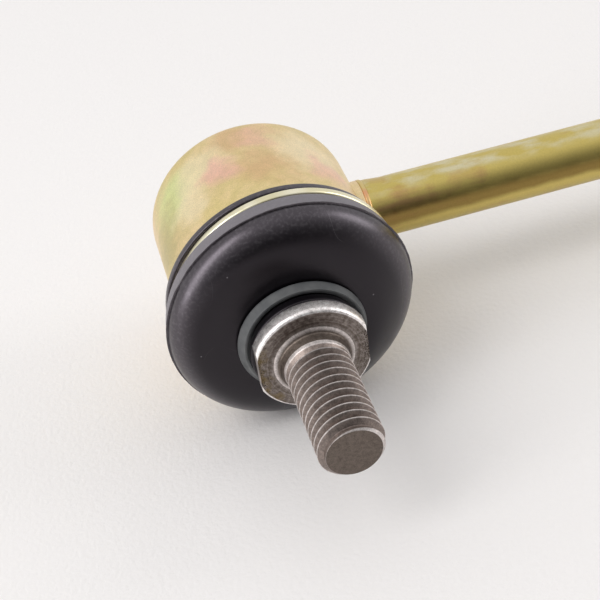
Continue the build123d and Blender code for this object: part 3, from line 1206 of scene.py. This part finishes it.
@dataclass
class Housing(Part):
    """Forged cup with its bore, the boot's land and a collar that the rod is welded to."""

    radius: float = 17.0
    closed_end: float = -10.6
    floor_height: float = -8.8
    end_round: float = 3.0
    shoulder: float = 12.8
    land_radius: float = 15.5
    mouth: float = 18.0
    mouth_radius: float = 12.42
    bore_radius: float = 12.05
    groove_radius: float = 13.05
    groove_foot: float = 6.35
    groove_top: float = 7.6
    groove_land: float = 0.9
    collar_radius: float = 5.4
    collar_reach: float = 17.4
    slot: str = "housing_plating"

    def build(self) -> Piece:
        """Models the cup in the joint frame and unites the collar with it."""
        outline = Outline()
        outline.to(0.0, self.closed_end)
        outline.to(self.radius, self.closed_end, self.end_round)
        outline.to(self.radius, self.shoulder, 0.15)
        outline.to(self.land_radius, self.shoulder)
        outline.to(self.land_radius, self.mouth, 0.4)
        outline.to(self.mouth_radius, self.mouth, 0.2)
        outline.to(self.bore_radius, self.groove_top + self.groove_land)
        outline.to(self.bore_radius, self.groove_top)
        outline.to(self.groove_radius, self.groove_top)
        outline.to(self.groove_radius, self.groove_foot)
        outline.to(self.bore_radius, self.groove_foot)
        outline.to(self.bore_radius, self.floor_height, 0.6)
        outline.to(0.0, self.floor_height)
        cup = turned("housing", outline, Steps.FINE)
        boss = Outline()
        root = (self.bore_radius + self.radius) / 2
        boss.to(0.0, root)
        boss.to(self.collar_radius, root)
        boss.to(self.collar_radius, self.collar_reach, 0.1)
        boss.to(0.0, self.collar_reach)
        collar = turned("collar", boss, Steps.COARSE)
        collar.data.transform(ALONG_X)
        joined_by_boolean(cup, collar, "UNION")
        smooth(cup)
        return cup


@dataclass
class Weld(Part):
    """Crowned ring of weld metal between the collar and the rod, turned about x."""

    start: float = 17.4
    width: float = 0.8
    edge_radius: float = 5.25
    crown: float = 0.2
    slot: str = "weld_plating"

    def build(self) -> Piece:
        """Models the weld in the joint frame."""
        end = self.start + self.width
        outline = Outline()
        outline.to(0.0, self.start)
        middle = (self.edge_radius, self.start + self.width / 2)
        outline.sweep(middle, (self.crown, self.width / 2), -90, 90, 9)
        outline.to(0.0, end)
        weld = turned("weld", outline, Steps.COARSE)
        weld.data.transform(ALONG_X)
        return weld


@dataclass
class LinkRod(Part):
    """Drawn rod between the two welds, upset at both ends."""

    radius: float = 5.0
    upset_radius: float = 5.23
    upset_length: float = 3.1
    upset_flat: float = 0.7
    slot: str = "rod_plating"

    def build(self) -> Piece:
        """Models the rod where it lies, from one end of its node to the other."""
        low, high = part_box("link_rod")
        half = (high.x - low.x) / 2 / MM
        middle = (low + high) / 2
        outline = Outline()
        for side in (-1, 1):
            corners = [
                (0.0, half, 0.0),
                (self.upset_radius, half, 0.1),
                (self.upset_radius, half - self.upset_flat, 0.8),
                (self.radius, half - self.upset_length, 2.0),
            ]
            for radius, reach, rounding in corners[:: -side]:
                outline.to(radius, side * reach, rounding)
        rod = turned("link_rod_bar", outline, Steps.COARSE)
        rod.data.transform(Matrix.Translation(middle) @ ALONG_X)
        return rod


@dataclass(frozen=True)
class Lamp:
    """Area lamp.

    Attributes:
        name: Name of the lamp.
        place: Its middle, in metres.
        size: Width and height, in metres.
        power: Power in watts.
    """

    name: str
    place: Triple
    size: Span
    power: float

    def add(self, aim: Triple) -> None:
        """Adds the lamp, looking at a point."""
        data = bpy.data.lights.new(self.name, "AREA")
        data.shape = "RECTANGLE"
        data.size, data.size_y = self.size
        data.energy = self.power
        lamp = bpy.data.objects.new(self.name, data)
        direction = Vector(aim) - Vector(self.place)
        lamp.rotation_euler = direction.to_track_quat("-Z", "Y").to_euler()
        lamp.location = self.place
        bpy.context.scene.collection.objects.link(lamp)


@dataclass
class Studio:
    """Pale floor, a window on the left, a white board on the right and pale surroundings.

    The camera's place and axes were worked out from the stud's thread, taken as M10, and from the
    circles of the flange, boot and housing.
    """

    camera_place: Triple = (-0.14374, -0.15052, 0.12911)
    camera_right: Triple = (0.95709, -0.26210, -0.12359)
    camera_up: Triple = (0.26128, 0.59608, 0.75923)
    focal_length: float = 78.0
    floor_colour: str = "#EEEBEA"
    floor_roughness: float = 0.6
    floor_size: float = 6.0
    floor_gap: float = 0.02
    sky: float = 0.87
    dark_side: Triple = (0.2, -0.98, 0.0)
    dark_level: float = 0.03
    dark_edge: float = 0.3
    lamp_aim: Triple = (-0.12, 0.0, 0.0)
    lamps: tuple[Lamp, ...] = (
        Lamp("window", (-0.95, -0.25, 0.58), (0.36, 1.40), 6.5),
        Lamp("white_board", (0.81, -0.08, 0.38), (0.30, 0.60), 1.9),
    )

    def camera(self) -> None:
        """Adds the camera and makes it the scene's."""
        right = Vector(self.camera_right).normalized()
        up = Vector(self.camera_up)
        back = right.cross(up).normalized()
        up = back.cross(right)
        data = bpy.data.cameras.new("camera")
        data.lens = self.focal_length
        data.sensor_width = 36.0
        data.clip_start = 0.01
        camera = bpy.data.objects.new("camera", data)
        axes = Matrix((right, up, back)).transposed().to_4x4()
        camera.matrix_world = Matrix.Translation(Vector(self.camera_place)) @ axes
        bpy.context.scene.collection.objects.link(camera)
        bpy.context.scene.camera = camera

    def floor(self, height: float) -> None:
        """Adds the floor, just touching the boots, with the faint grain of coated card."""
        bpy.ops.object.select_all(action="DESELECT")
        bpy.ops.mesh.primitive_plane_add(size=self.floor_size, location=(0, 0, height))
        floor = bpy.context.object
        floor.name = "studio_floor"
        s = Surface("studio_floor", Vector((0, 0, 0)))
        relief = s.relief(s.noise(1.2, 3.0), 0.5, 0.2)
        card = s.finish(
            Base_Color=self.floor_colour, Roughness=self.floor_roughness, Normal=relief
        )
        floor.data.materials.append(card)
        floor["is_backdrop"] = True

    def world(self) -> None:
        """Makes the surroundings: pale all round and overhead, and dark on the camera's side."""
        world = bpy.data.worlds.new("studio")
        world.use_nodes = True
        bpy.context.scene.world = world
        t = NodeTree(world.node_tree)
        direction = t.add("ShaderNodeTexCoord", output="Generated")
        dark_side = tuple(Vector(self.dark_side).normalized())
        facing = t.vector("DOT_PRODUCT", direction, dark_side, output="Value")
        level = t.remap(facing, (self.dark_edge, 1.0), (self.sky, self.dark_level))
        background = t.tree.nodes["Background"]
        t.feed(background.inputs["Strength"], level)
        t.feed(background.inputs["Color"], "#FFFFFF")

    def build(self, lowest: float) -> None:
        """Sets up the whole studio, with the floor under the lowest point of the link."""
        self.camera()
        self.floor(lowest - self.floor_gap * MM)
        for lamp in self.lamps:
            lamp.add(self.lamp_aim)
        self.world()
        bpy.context.scene.view_settings.view_transform = "Standard"


@dataclass
class StabilizerLink:
    """The dressed link: a rod with one complete ball joint at each end."""

    stud: BallStud = field(default_factory=BallStud)
    boot: Boot = field(default_factory=Boot)
    clamp: BootClamp = field(default_factory=BootClamp)
    ring: NeckRing = field(default_factory=NeckRing)
    housing: Housing = field(default_factory=Housing)
    weld: Weld = field(default_factory=Weld)
    rod: LinkRod = field(default_factory=LinkRod)

    def stand_in(self, piece: Piece, node: str) -> None:
        """Lets a dressed piece stand for its node."""
        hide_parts(node)
        LOG.info("%s stands for %s, %d faces", piece.name, node, len(piece.data.polygons))

    def build(self) -> None:
        """Models every piece once, then places it at both ends; the boots are baked in place and
        attached to no body.
        """
        joints = [JointPlace.find(letter, self.stud.ball_radius) for letter in "ab"]
        parts = (
            (self.housing, "cup", "housing", YellowChromate(), "link"),
            (self.weld, "weld_bead", "rod_weld", WeldTintAndReflection(), "link"),
            (self.clamp, "clamp_band", "boot_clamp", BRIGHT_ZINC, "seat_{}"),
            (self.ring, "boot_neck_ring", "neck_ring", NYLON_RING, "neck_{}"),
            (self.stud, "stud", "ball_stud", RolledSteel(), "stud_{}"),
            (self.boot, "rubber_boot", "boot", MouldedRubber(), None),
        )
        for part, name, node, finish, body in parts:
            model = part.build()
            for joint in joints:
                end = joint.letter
                piece = placed(model, f"{name}_{end}", joint.matrix())
                if part.skew:
                    part.skew.apply(piece, joint)
                finish.dress(piece, joint.centre)
                self.stand_in(piece, f"{node}_{end}")
                if body:
                    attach(piece, body.format(end))
                    continue
                start, stop = (joint.at_height(height) for height in part.bend_heights)
                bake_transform(piece)
            discard(model)
        rod = self.rod.build()
        DrawnRodChromate().dress(rod, Vector((0, joints[0].centre.y, 0)))
        self.stand_in(rod, "link_rod")
        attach(rod, "link")
        self.dress_inner_nodes(joints)

    def dress_inner_nodes(self, joints: list[JointPlace]) -> None:
        """Gives the pieces inside the housings their finishes."""
        inner = {
            "ball_seat": ACETAL_SEAT,
            "preload_spring": SPRING_STEEL,
            "closing_ring": TURNED_STEEL,
            "snap_ring": SPRING_STEEL,
        }
        for node, finish in inner.items():
            for joint in joints:
                finish.dress(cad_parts[f"{node}_{joint.letter}"], joint.centre)


def plain(box: Sequence[Sequence[float]]) -> list[list[float]]:
    """A box as plain lists of numbers."""
    return [[float(c) for c in corner] for corner in box]


def main() -> None:
    """Builds the dressed link and its studio."""
    logging.basicConfig(level=logging.INFO, format="%(message)s")
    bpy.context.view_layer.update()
    StabilizerLink().build()
    after = plain(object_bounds())
    Studio().build(after[0][2])


if __name__ == "__main__":
    main()
